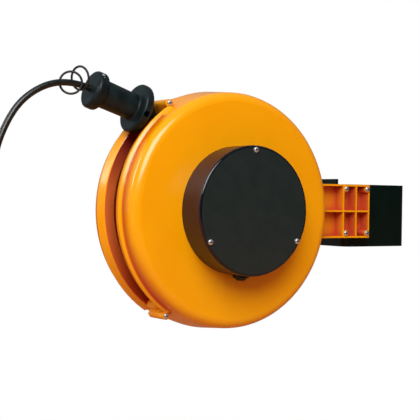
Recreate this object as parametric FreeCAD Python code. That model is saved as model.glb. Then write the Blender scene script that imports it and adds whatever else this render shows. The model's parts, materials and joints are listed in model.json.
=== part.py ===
import FreeCAD, Part

import math
import os

from FreeCAD import Vector

# Wall-mounted spring cable reel, in millimetres, +Z up.
# The origin is the centre of the bracket's four wall holes, on the wall face.
# Every piece is first made round the reel's hub: X to the right, Y away from the
# viewer, Z up, the drum's axis along Y and the middle of the drum at Y 0.

full_turn = 360.0
third_turn = 120.0
thread_turn = 30.0

# How far a cutting shape runs past the face it opens, and a joined one into its neighbour
past = 1.0

# Where the hub is, seen from the wall fixing
wall_to_middle = 92.0
web_width = 114.2
leg_x = 223.0

# Housing: two dished halves round the drum
rim_r = 153.2
shoulder_r = 148.5
half_depth = 54.5
wall = 3.0
shoulder_round = 12.5
back_round = 19.0
back_boss_r = 40.0
back_boss_h = 3.5
tongue_h = 3.0
tongue_t = 1.8
tongue_gap = 0.5
tongue_round = 0.3
tongue_end_turn = 3.0

# Mouth that the cable comes out of, between two flared lips
mouth_start = 122.8
mouth_end = 236.9
end_wall_turn = 0.5
groove_depth = 31.0
lip_r = 155.0
lip_depth = 27.7
lip_inner_r = 151.0
lip_inner_depth = 14.7
guard_r = 132.0
guard_depth = 24.7
groove_round = 1.5
lip_round = 1.5
lip_inner_round = 0.5
guard_round = 0.8
lug_stand = 3.8
lug_centre_r = rim_r + lug_stand
lug_r = 5.0
lug_front = 28.0
lug_back = 6.0

# Ribbed arm that holds the reel on its bracket
arm_end = 249.3
arm_half_height = 37.1
arm_front = 22.0
arm_floor = 4.0
arm_wall = 2.6
rib = 2.4
rib_x = 202.2
rib_pitch = 22.8
arm_screw_x = (206.6, 244.8)
arm_screw_z = 30.6
arm_boss_r = 4.4
leg_wall = 4.7

# Bent steel wall bracket
sheet = 4.0
bend_r = 12.0
web_top = 37.7
web_bottom = -50.5
leg_top = 45.3
leg_tall_from = 20.0
foot_length = 26.0
wall_hole_r = 4.3
wall_hole_z = 28.0
leg_bolt_y = 16.2
leg_bolt_z = 16.0

# Round cover over the slip rings
cover_r = 81.0
cover_front = 94.6
cover_wall = 2.5
cover_round = 3.0
gasket_t = 0.8
cover_screw_r = 75.3
cover_screw_angles = (90.0, 210.0, 330.0)
cover_boss_r = 4.8
shell_boss_h = 7.0

# Cable gland under the cover
gland_y = -66.0
gland_r = 10.3
gland_pad = 81.4
gland_pad_t = 7.0
gland_flange_h = 2.3
gland_nut_h = 3.7
gland_thread_r = 7.9
gland_bore_r = 4.2
gland_inside = 10.0
gland_nut_r = 9.1
gland_nut_tip_r = 5.0
locknut_af = 19.1
locknut_h = 3.0
seal_wall = 1.8
seal_clearance = 0.1

# Fasteners
m4_r = 2.0
m4_head_r = 3.5
m4_head_h = 2.6
m4_nut_af = 7.0
m4_nut_h = 3.2
m6_r = 3.0
m6_head_af = 10.0
m6_head_h = 4.0
slot_w = 1.0
slot_d = 1.1
screw_head_round = 0.6
screw_tip_round = 0.3
screw_past_nut = 1.0
screw_end_gap = 1.0
thread_clearance = 0.05
hole_clearance = 0.2

# Axle, bushes and mainspring
axle_r = 8.0
axle_shoulder_r = 11.0
axle_flange_r = 24.0
axle_flange_t = 4.0
axle_front = -31.0
axle_screw_r = 17.5
bush_wall = 3.0
bush_flange_r = 14.0
bush_flange_t = 1.5
bush_length = 13.0
running = 0.06
gap = 0.3
arbor_r = 17.0
arbor_half = 11.0
washer_t = 1.5
clip_t = 1.2
clip_r = 10.5
clip_depth = 1.0
clip_clearance = 0.05
clip_half_opening = 4.0
axle_screw_count = 4
axle_screw_turn = 45.0
spring_t = 0.9
spring_pitch = 2.1
spring_half_turns = 24
spring_half_width = 17.0
spring_start_r = 17.4
spring_turn = 10.0

# Drum
flange_inner = 22.0
flange_t = 3.0
flange_r = 128.0
flange_edge_round = 1.2
core_r = 55.0
core_wall = 3.0
hub_boss_r = 16.0
hub_boss_inner = 12.0
drum_screw_r = 48.6
drum_screw_count = 6
drum_screw_end = 2.0
drum_boss_r = 3.3

# Cable
cable_r = 4.0
exit_r = 83.0
exit_angle = 162.0
turn_pitch = 8.5
winding_half_turns = 4
gap_samples = 60
lead_start = 3.2

# Ratchet
ratchet_teeth = 12
ratchet_tip_r = 45.0
ratchet_root_r = 37.0
ratchet_bore_r = 20.0
ratchet_spacer = 2.0
ratchet_t = 4.0
ratchet_phase = 73.0
ratchet_tooth_lean = 2.0
ratchet_hub_step = 2.0
ratchet_screw_r = 29.0
ratchet_screw_past = 2.0
pawl_pivot_r = 62.0
pawl_pivot_angle = 60.0
pawl_tip_r = 46.2
pawl_tip_angle = 82.0
pawl_t = 3.6
pawl_eye_r = 6.0
pawl_side = 5.0
pawl_nose = 6.0
pawl_nose_back = 4.5
pawl_nose_front = 0.6
pawl_tip_t = 2.0
pawl_pin_r = 3.0
pawl_pin_head_r = 5.0
pawl_pin_head_t = 1.1
pawl_boss_r = 7.0
leaf_t = 0.8
leaf_h = 3.0
leaf_length = 34.0
leaf_side_gap = 0.3
leaf_post_r = 5.0
leaf_post_out = 6.0
leaf_post_turn = 25.0
leaf_slot_length = 10.0
leaf_slot_back = 3.0
leaf_back = 2.8
leaf_touch_from_tip = 10.0
leaf_touch_out = 5.7

# Slip rings, brushes and terminals
carrier_r = 17.0
carrier_bore_r = 14.5
carrier_flange_r = 30.0
carrier_flange_t = 3.0
carrier_bore_clearance = 1.5
ring_r = 22.0
ring_w = 6.0
ring_pitch = 10.0
ring_first_y = -62.0
ring_count = 3
separator_r = 25.0
separator_t = 2.0
carrier_screw_r = 26.0
carrier_screw_past = 2.0
holder_x = 32.0
holder_depth = 20.0
holder_half = 10.0
holder_back_wall = 2.0
holder_foot_t = 4.0
holder_foot_reach = 9.0
holder_screw_out = 4.5
holder_screw_end = 0.5
holder_hole_end = 0.3
brush_w = 5.2
brush_h = 8.0
brush_length = 13.0
brush_wire_r = 0.4
brush_coil_r = 2.4
brush_coil_pitch = 2.2
brush_coil_half_turns = 10
channel_clearance = 0.2
brush_ring_w = 6.0
block_half_w = 22.0
block_top = -50.0
block_bottom = -64.0
block_h = 16.0
terminal_pitch = 13.0
terminal_hole_r = 2.6

# Cable stop, a two-part bobbin clamped on the cable, from where its line passes the lips
stop_seat = math.sqrt(lip_r**2 - exit_r**2)
stop_nose_in = 3.1
stop_nose_r = 11.0
stop_nose_length = 7.1
stop_nose_round = 3.0
stop_stand = 11.4
stop_flange_t = 11.5
stop_flange_r = 31.2
stop_flange_back_round = 7.0
stop_flange_round = 3.5
stop_barrel_length = 48.0
stop_barrel_r = 16.6
stop_barrel_end_r = 17.3
stop_barrel_round = 2.5
stop_outer_t = 15.0
stop_outer_r = 23.6
stop_outer_round = 4.5
stop_bore_clearance = 0.1
stop_flange_screw_up = 8.5
stop_outer_screw_up = 17.5
stop_pocket_r = 3.9
stop_pocket_floor = 9.0
stop_screw_end = 1.0
stop_nose = stop_seat - stop_nose_in
stop_flange_start = stop_seat + stop_stand
stop_flange_end = stop_flange_start + stop_flange_t
stop_outer_start = stop_flange_end + stop_barrel_length
stop_end = stop_outer_start + stop_outer_t

# Tail of cable beyond the stop: a straight start, then points from the hub
tail_straight = 18.7
tail_route = (
    (-233.0, 0.0, 149.8),
    (-265.7, 0.0, 131.2),
    (-286.5, 0.0, 104.2),
    (-303.0, -1.0, 64.5),
    (-308.0, -2.0, 12.0),
    (-312.5, -2.0, -58.0),
    (-313.0, -1.0, -138.0),
    (-311.5, 0.0, -216.0),
    (-311.5, 0.0, -285.0),
    (-312.0, 0.0, -330.0),
)
bend_share = 0.45

# Two thin rings hung round the cable, from the hub: centre, axis and radius
tie_r = 1.0
tie_rings = (
    (Vector(-206.4, 0.0, 151.0), Vector(0.42, 0.91, 0.0), 12.9),
    (Vector(-194.4, -0.6, 157.2), Vector(0.93, 0.33, 0.1), 13.6),
)

# Coupling socket
nut_r = 12.5
nut_length = 22.0
coupler_r = 22.0
coupler_neck_r = 15.0
coupler_length = 78.0
coupler_shoulder = 18.0
recess_r = 19.5
recess_depth = 17.0
insert_t = 12.0
insert_clearance = 0.1
nut_grip = 6.0
nut_tip_r = 8.5
nut_tip_round = 1.5
nut_shoulder = 6.0
nut_round = 1.0
coupler_neck_h = 6.0
coupler_edge_round = 1.5
coupler_shoulder_round = 6.0
pin_hole_r = 2.6
pin_hole_x = 9.5
sleeve_r = 3.2
sleeve_wall = 0.9
sleeve_length = 11.0
sleeve_top = 0.5
clip_half_w = 3.0
clip_below_face = 3.0
earth_clip_t = 1.2

hub = Vector(-(leg_x + web_width / 2), -wall_to_middle, 0)
os.makedirs("parts", exist_ok=True)


# Small tools

def polar(radius, degrees, y=0.0):
    """A point at a radius and an angle from +X towards +Z."""
    angle = math.radians(degrees)
    return Vector(radius * math.cos(angle), y, radius * math.sin(angle))


def turned(shape, degrees):
    """The shape turned round the hub, from +X towards +Z."""
    copy = shape.copy()
    copy.rotate(Vector(), Vector(0, -1, 0), degrees)
    return copy


def moved(shape, offset):
    copy = shape.copy()
    copy.translate(offset)
    return copy


def box(x, y, z):
    """A block between two values on each axis."""
    size = [max(pair) - min(pair) for pair in (x, y, z)]
    return Part.makeBox(*size, Vector(min(x), min(y), min(z)))


def rod(radius, start, end):
    return Part.makeCylinder(radius, (end - start).Length, start, end - start)


def pipe(outer, inner, start, end):
    return rod(outer, start, end).cut(rod(inner, start, end))


def along_y(radius, x, z, y0, y1):
    return rod(radius, Vector(x, min(y0, y1), z), Vector(x, max(y0, y1), z))


def ring(outer, inner, y0, y1):
    return pipe(outer, inner, Vector(0, min(y0, y1), 0), Vector(0, max(y0, y1), 0))


def rounded_wire(corners):
    """A closed outline in the XY plane; each corner is x, y and the radius that rounds it."""
    points = [Vector(x, y, 0) for x, y, _ in corners]
    turns = []
    for i, (_, _, radius) in enumerate(corners):
        here = points[i]
        back = (points[i - 1] - here).normalize()
        on = (points[(i + 1) % len(points)] - here).normalize()
        half = back.getAngle(on) / 2
        reach = radius / math.tan(half)
        middle = here + (back + on).normalize() * (radius / math.sin(half) - radius)
        turns.append((here + back * reach, middle, here + on * reach, radius > 0))
    edges = []
    for i, (start, middle, end, is_round) in enumerate(turns):
        if is_round:
            edges.append(Part.Arc(start, middle, end).toShape())
        edges.append(Part.LineSegment(end, turns[(i + 1) % len(turns)][0]).toShape())
    return Part.Wire(edges)


def spun(corners, start=0.0, sweep=full_turn):
    """A section of radius and depth, carried round the hub."""
    face = Part.Face(rounded_wire(corners))
    return turned(face.revolve(Vector(), Vector(0, -1, 0), sweep), start)


def inset(points, distance):
    """The same open outline, moved square to itself by a distance to its right."""
    found = []
    for i, (x, y) in enumerate(points):
        ways = []
        for a, b in ((i - 1, i), (i, i + 1)):
            if a >= 0 and b < len(points):
                way = Vector(points[b][0] - points[a][0], points[b][1] - points[a][1], 0)
                way.normalize()
                ways.append(Vector(way.y, -way.x, 0))
        side = (ways[0] + ways[-1]).normalize()
        step = distance / side.dot(ways[0])
        found.append((x + side.x * step, y + side.y * step))
    return found


def screw(head, way, length, radius=m4_r, head_r=m4_head_r, head_h=m4_head_h):
    """A pan-head screw with a slot; its head sits on the point and its shank goes along way."""
    way = Vector(*way).normalize()
    section = rounded_wire(
        [
            (0.0, length, 0.0),
            (0.0, -head_h, 0.0),
            (head_r, -head_h, head_h * screw_head_round),
            (head_r, 0.0, 0.0),
            (radius, 0.0, 0.0),
            (radius, length, radius * screw_tip_round),
        ]
    )
    body = Part.Face(section).revolve(Vector(), Vector(0, 1, 0), full_turn)
    slot = box((-head_r, head_r), (-head_h, slot_d - head_h), (-slot_w / 2, slot_w / 2))
    body = body.cut(slot)
    body.Placement = FreeCAD.Placement(head, FreeCAD.Rotation(Vector(0, 1, 0), way))
    return body


def hexagon(centre, way, across, height, bore=0.0):
    """A nut from the point along way, or a bolt's head where it has no bore."""
    corners = [polar(across / math.sqrt(3), full_turn * i / 6) for i in range(6)]
    body = Part.Face(Part.makePolygon(corners + corners[:1])).extrude(Vector(0, height, 0))
    if bore > 0:
        body = body.cut(rod(bore, Vector(), Vector(0, height, 0)))
    body.Placement = FreeCAD.Placement(
        centre, FreeCAD.Rotation(Vector(0, 1, 0), Vector(*way).normalize())
    )
    return body


def tube(wire, radius):
    """A round tube along a path of lines and arcs."""
    first = wire.OrderedEdges[0]
    start = first.valueAt(first.FirstParameter)
    way = first.tangentAt(first.FirstParameter)
    maker = Part.BRepOffsetAPI.MakePipeShell(wire)
    maker.add(Part.Wire(Part.Circle(start, way, radius).toShape()))
    maker.build()
    maker.makeSolid()
    return maker.shape()


def cord_wire(name, points):
    """Straight runs joined by arcs as large as the runs allow."""
    edges = []
    radii = []
    start = points[0]
    for before, here, after in zip(points, points[1:], points[2:]):
        came = here - before
        goes = after - here
        reach = bend_share * min(came.Length, goes.Length)
        half = came.getAngle(goes) / 2
        radius = reach / math.tan(half)
        came.normalize()
        goes.normalize()
        inner = (goes - came).normalize()
        middle = here + inner * (radius / math.cos(half) - radius)
        edges.append(Part.LineSegment(start, here - came * reach).toShape())
        edges.append(Part.Arc(here - came * reach, middle, here + goes * reach).toShape())
        start = here + goes * reach
        radii.append(radius)
    edges.append(Part.LineSegment(start, points[-1]).toShape())
    print(name, "bend radii", [round(r, 1) for r in radii])
    return Part.Wire(edges)


def coil_points(radius, pitch, half_turns):
    """The joints and middles of a coil of half circles about Y, starting at +X, running clockwise."""
    points = []
    for i in range(2 * half_turns + 1):
        points.append(polar(radius, -90.0 * i, pitch * i / 4))
    return points


def coil_wire(radius, pitch, half_turns, stub):
    """Half circles that each step along Y by half a pitch, with a straight stub at each end."""
    points = coil_points(radius, pitch, half_turns)
    edges = [Part.LineSegment(points[0] + Vector(0, 0, stub), points[0]).toShape()]
    for i in range(half_turns):
        edges.append(Part.Arc(*points[2 * i : 2 * i + 3]).toShape())
    away = Vector(0, 0, -stub if half_turns % 2 == 0 else stub)
    edges.append(Part.LineSegment(points[-1], points[-1] + away).toShape())
    return Part.Wire(edges)


def save(name, *solids):
    """Puts the piece where it is from the wall fixing, and writes it."""
    shape = Part.makeCompound(list(solids)) if len(solids) > 1 else solids[0]
    shape = moved(shape, hub)
    shape.exportStep(f"parts/{name}.step")
    state = "ok" if shape.isValid() and shape.Solids else "NOT VALID"
    print(f"{name}: {len(shape.Solids)} solids, {shape.Volume:.0f} mm3, {state}")


# Housing halves

def shell_outlines(side):
    """Outer points of the closed wall and of the mouth's wall, as radius and depth."""
    face = side * half_depth
    groove_r = rim_r + (shoulder_r - rim_r) * groove_depth / half_depth
    closed = [(shoulder_r, face), (rim_r, 0.0)]
    mouth = [
        (shoulder_r, face),
        (groove_r, side * groove_depth),
        (lip_r, side * lip_depth),
        (lip_inner_r, side * lip_inner_depth),
        (guard_r, side * guard_depth),
    ]
    return closed, mouth


def dish(side, bore):
    """One half of the housing: a plain wall all round, and lips where the mouth is."""
    face = side * half_depth
    inner_face = side * (half_depth - wall)
    corner_round = shoulder_round if side < 0 else back_round
    closed, mouth = shell_outlines(side)
    inner_round = corner_round - wall
    closed_wall = [
        (bore, face, 0.0),
        (*closed[0], corner_round),
        (*closed[1], 0.0),
        (rim_r - wall, 0.0, 0.0),
        (shoulder_r - wall, inner_face, inner_round),
        (bore, inner_face, 0.0),
    ]
    inner = inset([(bore, face)] + mouth, side * wall)
    outer_rounds = (corner_round, groove_round, lip_round, lip_round, guard_round)
    inner_rounds = (inner_round, 2 * groove_round, lip_inner_round, lip_inner_round, guard_round)
    mouth_wall = [(bore, face, 0.0)]
    mouth_wall += [(x, y, r) for (x, y), r in zip(mouth, outer_rounds)]
    mouth_wall += [(x, y, r) for (x, y), r in zip(inner[:0:-1], inner_rounds[::-1])]
    mouth_wall.append((bore, inner_face, 0.0))
    mouth_sweep = mouth_end - mouth_start
    shell = spun(closed_wall, mouth_end, full_turn - mouth_sweep)
    return shell.fuse(spun(mouth_wall, mouth_start, mouth_sweep))


def envelope():
    """The housing's closed outer form, as one solid, to trim the arm against."""
    corners = [
        (0.0, -half_depth, 0.0),
        (shoulder_r, -half_depth, shoulder_round),
        (rim_r, 0.0, 0.0),
        (shoulder_r, half_depth, back_round),
        (0.0, half_depth, 0.0),
    ]
    return spun(corners)


def mouth_end_wall(side):
    """Closes the lower end of the mouth between the lips."""
    across = (guard_r + guard_round, rim_r - wall / 2)
    plate = box(across, (0.0, side * (lip_inner_depth + wall)), (-wall / 2, wall / 2))
    return turned(plate, mouth_end + end_wall_turn)


def lug(angle, y_end):
    """A screw lug along Y on the rim, with a root that joins it to the wall."""
    centre = polar(lug_centre_r, angle)
    barrel = along_y(lug_r, centre.x, centre.z, 0.0, y_end)
    root = box((rim_r - 2 * wall, lug_centre_r), (0.0, y_end), (-lug_r, lug_r))
    return barrel.fuse(turned(root, angle))


def pocket(x, y, z):
    """A pocket in the upper row and the same one in the lower row."""
    return [box(x, y, z), box(x, y, (-z[0], -z[1]))]


def arm_columns(last):
    """The pocket columns of the arm, as pairs of X, up to its end wall."""
    ribs = [rib_x, rib_x + rib_pitch]
    edges = [rim_r - 2 * wall] + [x for x in ribs if x < last] + [last]
    columns = []
    for i, (left, right) in enumerate(zip(edges, edges[1:])):
        start = left + (rib / 2 if i else 0.0)
        end = right - (rib / 2 if right != last else 0.0)
        columns.append((start, end))
    return columns


def arm_block(side, x_end, floor_y, end_wall, bosses):
    """Half of the arm: a tray of pockets open away from the middle, with screw bosses."""
    face = side * arm_front
    start = rim_r - 4 * wall
    block = box((start, x_end), (floor_y, face), (-arm_half_height, arm_half_height))
    pocket_z = (rib / 2, arm_half_height - arm_wall)
    cuts = []
    for column in arm_columns(x_end - end_wall):
        cuts += pocket(column, (floor_y + side * arm_floor, face + side * past), pocket_z)
    for x in bosses:
        for z in (arm_screw_z, -arm_screw_z):
            boss = along_y(arm_boss_r, x, z, floor_y, face)
            cuts = [cut.cut(boss) for cut in cuts]
    return block.cut(cuts)


def arm_holes(shape, bosses, radius):
    holes = [
        along_y(radius, x, z, -arm_front - past, arm_front + past)
        for x in bosses
        for z in (arm_screw_z, -arm_screw_z)
    ]
    return shape.cut(holes)


def trimmed_to_rim(block):
    """Cuts the arm at the housing's outer form and keeps the piece outside it."""
    return max(block.cut(envelope()).Solids, key=lambda s: s.BoundBox.XMax)


def lug_holes(shape, radius):
    holes = []
    for angle in (mouth_start, mouth_end):
        centre = polar(lug_centre_r, angle)
        holes.append(along_y(radius, centre.x, centre.z, -lug_front - past, lug_back + past))
    return shape.cut(holes)


def front_shell():
    shell = dish(-1, carrier_r + carrier_bore_clearance)
    shell = shell.fuse(mouth_end_wall(-1))
    shell = shell.fuse([lug(mouth_start, -lug_front), lug(mouth_end, -lug_front)])
    for angle in (mouth_start, mouth_end):
        at = polar(lug_centre_r, angle)
        room = along_y(m4_head_r + gap, at.x, at.z, -lug_front, -lug_front - 2 * m4_head_h)
        shell = shell.cut(room)
    # A tongue that slips inside the back half where the housing is closed
    inside = rim_r - wall
    lip = [
        (inside - tongue_t, -wall, 0.0),
        (inside + tongue_gap, -wall, 0.0),
        (inside + tongue_gap, -tongue_gap, 0.0),
        (inside - tongue_gap, -tongue_gap, 0.0),
        (inside - tongue_gap, tongue_h, tongue_round),
        (inside - tongue_t, tongue_h, tongue_round),
    ]
    closed_sweep = full_turn - (mouth_end - mouth_start)
    tongue = spun(lip, mouth_end + tongue_end_turn, closed_sweep - 2 * tongue_end_turn)
    shell = shell.fuse(tongue)
    # The arm's front half lies on the bracket's web and, before it, on the back half
    arm = arm_block(-1, arm_end, -sheet / 2, arm_wall, arm_screw_x)
    pad_y = (-sheet / 2 - past, 0.0)
    pad = box((rim_r - 4 * wall, leg_x - gap), pad_y, (-arm_half_height, arm_half_height))
    shell = shell.fuse(trimmed_to_rim(arm.fuse(pad)))
    # Threaded bosses behind the cover's screws
    for angle in cover_screw_angles:
        at = polar(cover_screw_r, angle)
        inner = wall - half_depth
        shell = shell.fuse(along_y(cover_boss_r, at.x, at.z, inner - past, inner + shell_boss_h))
    hole_y = (-half_depth - past, shell_boss_h - half_depth)
    for angle in cover_screw_angles:
        at = polar(cover_screw_r, angle)
        shell = shell.cut(along_y(m4_r + thread_clearance, at.x, at.z, *hole_y))
    shell = arm_holes(shell, arm_screw_x, m4_r + hole_clearance)
    return lug_holes(shell, m4_r + hole_clearance).removeSplitter()


def back_shell():
    shell = dish(1, axle_r + hole_clearance)
    shell = shell.fuse(mouth_end_wall(1))
    shell = shell.fuse([lug(mouth_start, lug_back), lug(mouth_end, lug_back)])
    arm = arm_block(1, leg_x - gap, 0.0, leg_wall, arm_screw_x[:1])
    shell = shell.fuse(trimmed_to_rim(arm))
    for z in (leg_bolt_z, -leg_bolt_z):
        bore_end = Vector(leg_x, leg_bolt_y, z)
        shell = shell.cut(rod(m6_r + hole_clearance, bore_end - Vector(2 * leg_wall, 0, 0), bore_end))
    inside = half_depth - wall
    outside = half_depth + back_boss_h
    shell = shell.fuse(ring(back_boss_r, axle_r + hole_clearance, half_depth - past, outside))
    pin = polar(pawl_pivot_r, pawl_pivot_angle)
    boss_start = pawl_back_y() + gap
    shell = shell.fuse(along_y(pawl_boss_r, pin.x, pin.z, boss_start, half_depth - past))
    shell = shell.cut(along_y(pawl_pin_r + thread_clearance, pin.x, pin.z, boss_start - past, inside))
    shell = shell.fuse(leaf_anchor())
    for angle in axle_screw_angles():
        at = polar(axle_screw_r, angle)
        shell = shell.cut(along_y(m4_r + hole_clearance, at.x, at.z, inside - past, outside + past))
    shell = arm_holes(shell, arm_screw_x[:1], m4_r + hole_clearance)
    return lug_holes(shell, m4_r + hole_clearance).removeSplitter()


def m4_nut(centre):
    return hexagon(centre, (0, 1, 0), m4_nut_af, m4_nut_h, m4_r + thread_clearance)


def shell_fasteners():
    screws = []
    nuts = []
    for angle in (mouth_start, mouth_end):
        length = lug_front + lug_back + m4_nut_h + screw_past_nut
        screws.append(screw(polar(lug_centre_r, angle, -lug_front), (0, 1, 0), length))
        nuts.append(m4_nut(polar(lug_centre_r, angle, lug_back)))
    save("shell_screws", *screws)
    save("shell_nuts", *nuts)


def arm_fasteners():
    screws = []
    nuts = []
    for x, back in zip(arm_screw_x, (arm_front, sheet / 2)):
        for z in (arm_screw_z, -arm_screw_z):
            length = arm_front + back + m4_nut_h + screw_past_nut
            screws.append(screw(Vector(x, -arm_front, z), (0, 1, 0), length))
            nuts.append(m4_nut(Vector(x, back, z)))
    save("arm_screws", *screws)
    save("arm_nuts", *nuts)
    bolts = []
    bolt_nuts = []
    for z in (leg_bolt_z, -leg_bolt_z):
        head = Vector(leg_x + sheet, leg_bolt_y, z)
        seat = Vector(leg_x - gap - leg_wall, leg_bolt_y, z)
        shank_end = seat - Vector(m6_head_h + screw_past_nut, 0, 0)
        bolt = hexagon(head, (1, 0, 0), m6_head_af, m6_head_h)
        bolts.append(bolt.fuse(rod(m6_r, head, shank_end)).removeSplitter())
        bolt_nuts.append(hexagon(seat, (-1, 0, 0), m6_head_af, m6_head_h, m6_r + thread_clearance))
    save("leg_bolts", *bolts)
    save("leg_nuts", *bolt_nuts)


def wall_bracket():
    """One bent sheet: two feet on the wall, two legs and the web that the arm is screwed to."""
    right = leg_x + web_width
    front = -sheet / 2
    back = wall_to_middle
    inner_r = bend_r - sheet
    outline = rounded_wire(
        [
            (leg_x - foot_length, back, 0.0),
            (leg_x - foot_length, back - sheet, 0.0),
            (leg_x, back - sheet, inner_r / 2),
            (leg_x, front, bend_r),
            (right, front, bend_r),
            (right, back - sheet, inner_r / 2),
            (right + foot_length, back - sheet, 0.0),
            (right + foot_length, back, 0.0),
            (right - sheet, back, inner_r),
            (right - sheet, front + sheet, inner_r),
            (leg_x + sheet, front + sheet, inner_r),
            (leg_x + sheet, back, inner_r),
        ]
    )
    body = Part.Face(outline).extrude(Vector(0, 0, leg_top - web_bottom))
    body.translate(Vector(0, 0, web_bottom))
    over = (web_top, leg_top + past)
    end = right + foot_length + past
    body = body.cut(box((leg_x - past, end), (front - past, leg_tall_from), over))
    body = body.cut(box((leg_x + web_width / 2, end), (front - past, back + past), over))
    holes = []
    for z in (wall_hole_z, -wall_hole_z):
        for x in (leg_x - foot_length / 2, right + foot_length / 2):
            holes.append(along_y(wall_hole_r, x, z, back - sheet - past, back + past))
    web_y = (front - past, front + sheet + past)
    for z in (arm_screw_z, -arm_screw_z):
        holes.append(along_y(m4_r + hole_clearance, arm_screw_x[1], z, *web_y))
    for z in (leg_bolt_z, -leg_bolt_z):
        start = Vector(leg_x - past, leg_bolt_y, z)
        holes.append(rod(m6_r + hole_clearance, start, start + Vector(sheet + 2 * past, 0, 0)))
    save("wall_bracket", body.cut(holes))


# Cover with what it protects

def gland_inner_pad():
    """How high the flat inside the cover, that the gland's locknut sits on, lies."""
    return gland_pad_t - gland_pad


def front_edge(cylinder):
    """The round edge of a cylinder that is nearest the viewer."""
    rounds = [edge for edge in cylinder.Edges if edge.isClosed()]
    return min(rounds, key=lambda edge: edge.BoundBox.YMin)


def cover_bosses(start, end):
    """The solid posts that the cover's screws pass through, inside its wall."""
    posts = []
    for angle in cover_screw_angles:
        at = polar(cover_screw_r, angle)
        posts.append(along_y(cover_boss_r, at.x, at.z, start, end))
    return posts


def cover_screw_holes():
    holes = []
    for angle in cover_screw_angles:
        at = polar(cover_screw_r, angle)
        holes.append(along_y(m4_r + hole_clearance, at.x, at.z, -cover_front - past, 0.0))
    return holes


def slip_ring_cover():
    rim = -half_depth - gasket_t
    inner_front = cover_wall - cover_front
    outside = along_y(cover_r, 0, 0, -cover_front, rim)
    cup = outside.makeFillet(cover_round, [front_edge(outside)])
    room = along_y(cover_r - cover_wall, 0, 0, inner_front, rim + past)
    cup = cup.cut(room.cut(cover_bosses(inner_front - past, rim + 2 * past)))
    cup = cup.fuse(rod(gland_r, Vector(0, gland_y, gland_inner_pad()), Vector(0, gland_y, -gland_pad)))
    holes = cover_screw_holes()
    thread = gland_thread_r + hole_clearance
    holes.append(rod(thread, Vector(0, gland_y, -gland_pad - past), Vector(0, gland_y, -cover_r / 2)))
    save("slip_ring_cover", cup.cut(holes))
    gasket = ring(cover_r, cover_r - cover_wall, rim, -half_depth).fuse(cover_bosses(rim, -half_depth))
    save("cover_gasket", gasket.cut(cover_screw_holes()).removeSplitter())
    length = cover_front - half_depth + shell_boss_h - screw_end_gap
    heads = [polar(cover_screw_r, angle, -cover_front) for angle in cover_screw_angles]
    save("cover_screws", *[screw(head, (0, 1, 0), length) for head in heads])


def gland():
    def at(z):
        return Vector(0, gland_y, z)

    thread_end = gland_inside - gland_pad
    flange_end = -gland_pad - gland_flange_h
    body = rod(gland_r, at(-gland_pad), at(flange_end))
    body = body.fuse(rod(gland_thread_r, at(-gland_pad), at(thread_end)))
    bore = gland_bore_r + seal_wall
    body = body.cut(rod(bore + seal_clearance, at(flange_end - past), at(thread_end + past)))
    save("gland_body", body)
    tip = flange_end - gland_nut_h
    cap = Part.makeCone(gland_nut_r, gland_nut_tip_r, gland_nut_h, at(flange_end), Vector(0, 0, -1))
    save("gland_nut", cap.cut(rod(gland_bore_r, at(flange_end + past), at(tip - past))))
    save("gland_seal", pipe(bore, gland_bore_r, at(flange_end), at(flange_end + gland_inside)))
    thread = gland_thread_r + thread_clearance
    save("gland_locknut", hexagon(at(gland_inner_pad()), (0, 0, 1), locknut_af, locknut_h, thread))


def brush_gear():
    base = -half_depth
    last = ring_first_y - ring_pitch * (ring_count - 1)
    top = last - ring_w
    holder = box((holder_x, holder_x + holder_depth), (top, base), (-holder_half, holder_half))
    foot_z = holder_half + holder_foot_reach
    foot_start = base - holder_foot_t
    holder = holder.fuse(box((holder_x, holder_x + holder_depth), (foot_start, base), (-foot_z, foot_z)))
    brushes = []
    springs = []
    back_wall = holder_x + holder_depth - holder_back_wall
    for i in range(ring_count):
        y = ring_first_y - ring_pitch * i
        half_w = brush_w / 2
        half_h = brush_h / 2
        slot_y = (y - half_w - channel_clearance, y + half_w + channel_clearance)
        slot_z = (-half_h - channel_clearance, half_h + channel_clearance)
        holder = holder.cut(box((holder_x - past, back_wall), slot_y, slot_z))
        brush = box((ring_r, ring_r + brush_length), (y - half_w, y + half_w), (-half_h, half_h))
        face = along_y(ring_r + gap, 0, 0, y - brush_ring_w, y + brush_ring_w)
        brushes.append(brush.cut(face))
        wire = coil_wire(brush_coil_r, brush_coil_pitch, brush_coil_half_turns, 2 * brush_wire_r)
        coil = tube(wire, brush_wire_r)
        coil.rotate(Vector(), Vector(0, 0, 1), -90)
        start = ring_r + brush_length + brush_wire_r + gap
        springs.append(moved(coil, Vector(start, y, 0)))
    screws = []
    for x, z in holder_screw_places():
        holder = holder.cut(along_y(m4_r + hole_clearance, x, z, foot_start - past, base + past))
        length = holder_foot_t + wall - holder_screw_end
        screws.append(screw(Vector(x, foot_start, z), (0, 1, 0), length))
    save("brush_holder", holder.removeSplitter())
    save("brushes", *brushes)
    save("brush_springs", *springs)
    save("holder_screws", *screws)


def holder_screw_places():
    x = holder_x + holder_depth / 2
    z = holder_half + holder_screw_out
    return ((x, z), (x, -z))


def holder_screw_holes():
    hole_y = (-half_depth - past, wall - half_depth - holder_hole_end)
    return [along_y(m4_r + thread_clearance, x, z, *hole_y) for x, z in holder_screw_places()]


def terminals():
    face = -half_depth - block_h
    entry_y = -half_depth - block_h / 2
    block = box((-block_half_w, block_half_w), (face, -half_depth), (block_bottom, block_top))
    middle = (block_top + block_bottom) / 2
    screws = []
    for i in (-1, 0, 1):
        x = i * terminal_pitch
        entry = (Vector(x, entry_y, block_bottom - past), Vector(x, entry_y, block_top + past))
        block = block.cut(rod(terminal_hole_r, *entry))
        block = block.cut(along_y(m4_r + thread_clearance, x, middle, face - past, entry_y))
        screws.append(screw(Vector(x, face, middle), (0, 1, 0), block_h / 2 - terminal_hole_r))
    save("terminal_block", block)
    save("terminal_screws", *screws)


# What turns: drum, winding, slip rings and ratchet

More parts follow.
